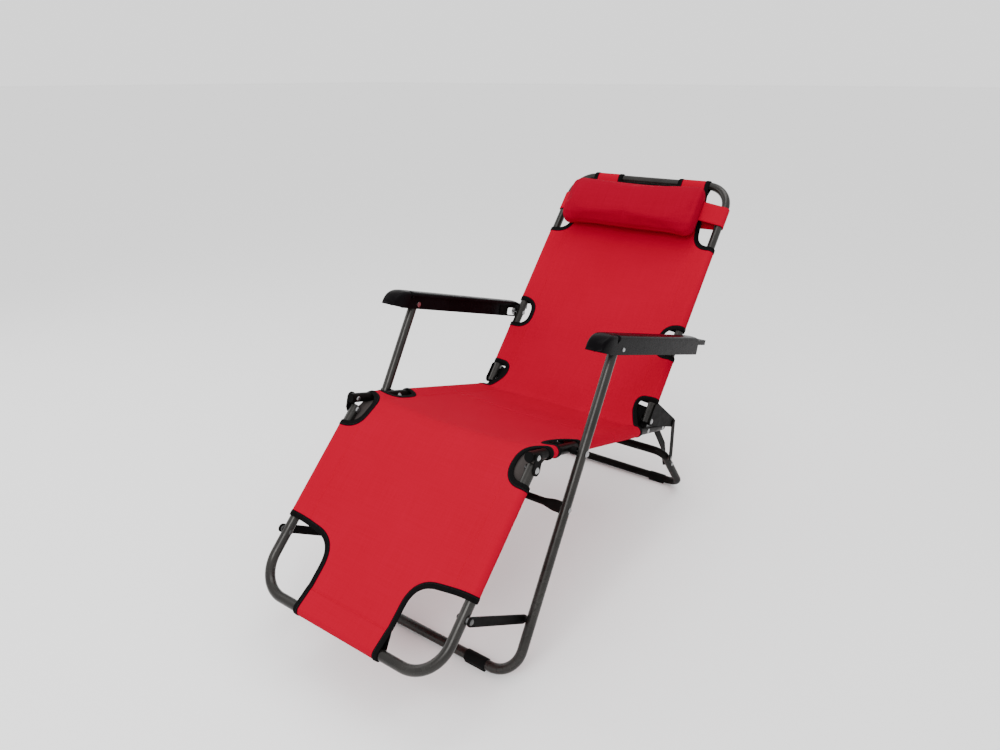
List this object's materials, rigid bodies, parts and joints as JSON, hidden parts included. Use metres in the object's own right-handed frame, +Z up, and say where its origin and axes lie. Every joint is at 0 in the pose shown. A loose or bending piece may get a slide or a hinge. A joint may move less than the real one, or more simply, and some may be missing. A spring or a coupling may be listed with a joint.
{
  "type": "folding sun lounger",
  "caption": "Folding reclining lounger with a fabric sling seat, leg rest, slotted armrests, hinged tube legs and a head pillow on a strap.",
  "frame": {"origin": "on the floor, below the middle of the lounger", "axes": "+X to the sitter's left, +Y from the feet to the head, +Z up"},
  "size_m": [0.608, 1.3359, 0.8805],
  "materials": {
    "red_fabric": "plain woven polyester, matte",
    "dark_tube": "powder coat with a slight metallic sheen",
    "dark_flat_steel": "powder coat, satin",
    "black_plastic": "moulded, fine texture, soft gloss",
    "black_trim": "moulded, matte",
    "zinc_fasteners": "zinc plated"
  },
  "bodies": {
    "seat_frame": {"seat_rail_left": "dark_tube", "seat_rail_right": "dark_tube", "rail_end_caps": "black_trim", "knee_bracket_left": "dark_flat_steel", "knee_bracket_right": "dark_flat_steel", "hip_bracket_left": "dark_flat_steel", "hip_bracket_right": "dark_flat_steel", "bracket_rivets": "zinc_fasteners", "knee_bolts": "zinc_fasteners", "hip_bolts": "zinc_fasteners", "leg_bolts": "zinc_fasteners", "leg_bushes": "black_trim", "rear_bolts": "zinc_fasteners", "seat_sling": "red_fabric"},
    "backrest": {"backrest_tube": "dark_tube", "backrest_end_caps": "black_trim", "back_sling": "red_fabric", "armrest_pins": "zinc_fasteners"},
    "head_pillow": {"pillow": "red_fabric", "pillow_strap": "red_fabric"},
    "footrest": {"footrest_tube": "dark_tube", "footrest_end_caps": "black_trim", "foot_sling": "red_fabric", "link_rivets": "zinc_fasteners"},
    "foot_links": {"foot_link_left": "dark_flat_steel", "foot_link_right": "dark_flat_steel"},
    "front_legs": {"front_leg_tube": "dark_tube", "leg_top_caps": "black_trim", "leg_crossbar": "dark_tube", "crossbar_rivets": "zinc_fasteners", "front_foot_sleeves": "black_trim"},
    "armrest_left": {"armrest_left": "black_plastic", "armrest_track_left": "dark_flat_steel", "armrest_screw_left": "zinc_fasteners"},
    "armrest_right": {"armrest_right": "black_plastic", "armrest_track_right": "dark_flat_steel", "armrest_screw_right": "zinc_fasteners"},
    "rear_leg": {"rear_leg_ring": "dark_tube", "rear_plate_left": "dark_flat_steel", "rear_plate_right": "dark_flat_steel", "rear_plate_rivets": "zinc_fasteners", "stay_rivets": "zinc_fasteners", "rear_foot_sleeves": "black_trim"},
    "rear_gussets": {"gusset_left": "dark_flat_steel", "gusset_right": "dark_flat_steel"},
    "rear_stays": {"stay_left": "dark_flat_steel", "stay_right": "dark_flat_steel"}
  },
  "joints": [
    {"name": "backrest_recline", "type": "hinge", "parent": "seat_frame", "child": "backrest", "pos_m": [0, 0.19466, 0.33418], "axis": [1, 0, 0], "range_deg": [-60, 100]},
    {"name": "footrest_swing", "type": "hinge", "parent": "seat_frame", "child": "footrest", "pos_m": [0, -0.34573, 0.43902], "axis": [1, 0, 0], "range_deg": [-61.2, 102]},
    {"name": "front_leg_swing", "type": "hinge", "parent": "seat_frame", "child": "front_legs", "pos_m": [0, -0.206, 0.425], "axis": [1, 0, 0], "range_deg": [-56.4, 94]},
    {"name": "rear_leg_swing", "type": "hinge", "parent": "seat_frame", "child": "rear_leg", "pos_m": [0, 0.28229, 0.28129], "axis": [1, 0, 0], "range_deg": [-18, 30]},
    {"name": "armrest_left_pivot", "type": "hinge", "parent": "front_legs", "child": "armrest_left", "pos_m": [0, -0.08789, 0.62235], "axis": [1, 0, 0], "range_deg": [-87.9, 52.74]},
    {"name": "armrest_right_pivot", "type": "hinge", "parent": "front_legs", "child": "armrest_right", "pos_m": [0, -0.08789, 0.62235], "axis": [1, 0, 0], "range_deg": [-87.9, 52.74]},
    {"name": "foot_link_pivot", "type": "hinge", "parent": "footrest", "child": "foot_links", "pos_m": [0, -0.56732, 0.228], "axis": [1, 0, 0], "range_deg": [-72, 43.2]},
    {"name": "gusset_pivot", "type": "hinge", "parent": "seat_frame", "child": "rear_gussets", "pos_m": [0, 0.19466, 0.33418], "axis": [1, 0, 0], "range_deg": [-7.44, 12.4]},
    {"name": "stay_pivot", "type": "hinge", "parent": "rear_leg", "child": "rear_stays", "pos_m": [0, 0.34629, 0.16325], "axis": [1, 0, 0], "range_deg": [-7.3, 4.38]},
    {"name": "pillow_slide", "type": "slide", "parent": "backrest", "child": "head_pillow", "axis": [0, 0.6574, 0.7536], "range_m": [-0.05, 0.005]}
  ],
  "couplings": [
    {"joint": "footrest_swing", "follows": "backrest_recline", "ratio": 1.02},
    {"joint": "front_leg_swing", "follows": "backrest_recline", "ratio": 0.94},
    {"joint": "rear_leg_swing", "follows": "backrest_recline", "ratio": 0.3},
    {"joint": "armrest_left_pivot", "follows": "backrest_recline", "ratio": -0.879},
    {"joint": "armrest_right_pivot", "follows": "backrest_recline", "ratio": -0.879},
    {"joint": "foot_link_pivot", "follows": "backrest_recline", "ratio": -0.72},
    {"joint": "gusset_pivot", "follows": "backrest_recline", "ratio": 0.124},
    {"joint": "stay_pivot", "follows": "backrest_recline", "ratio": -0.073}
  ]
}
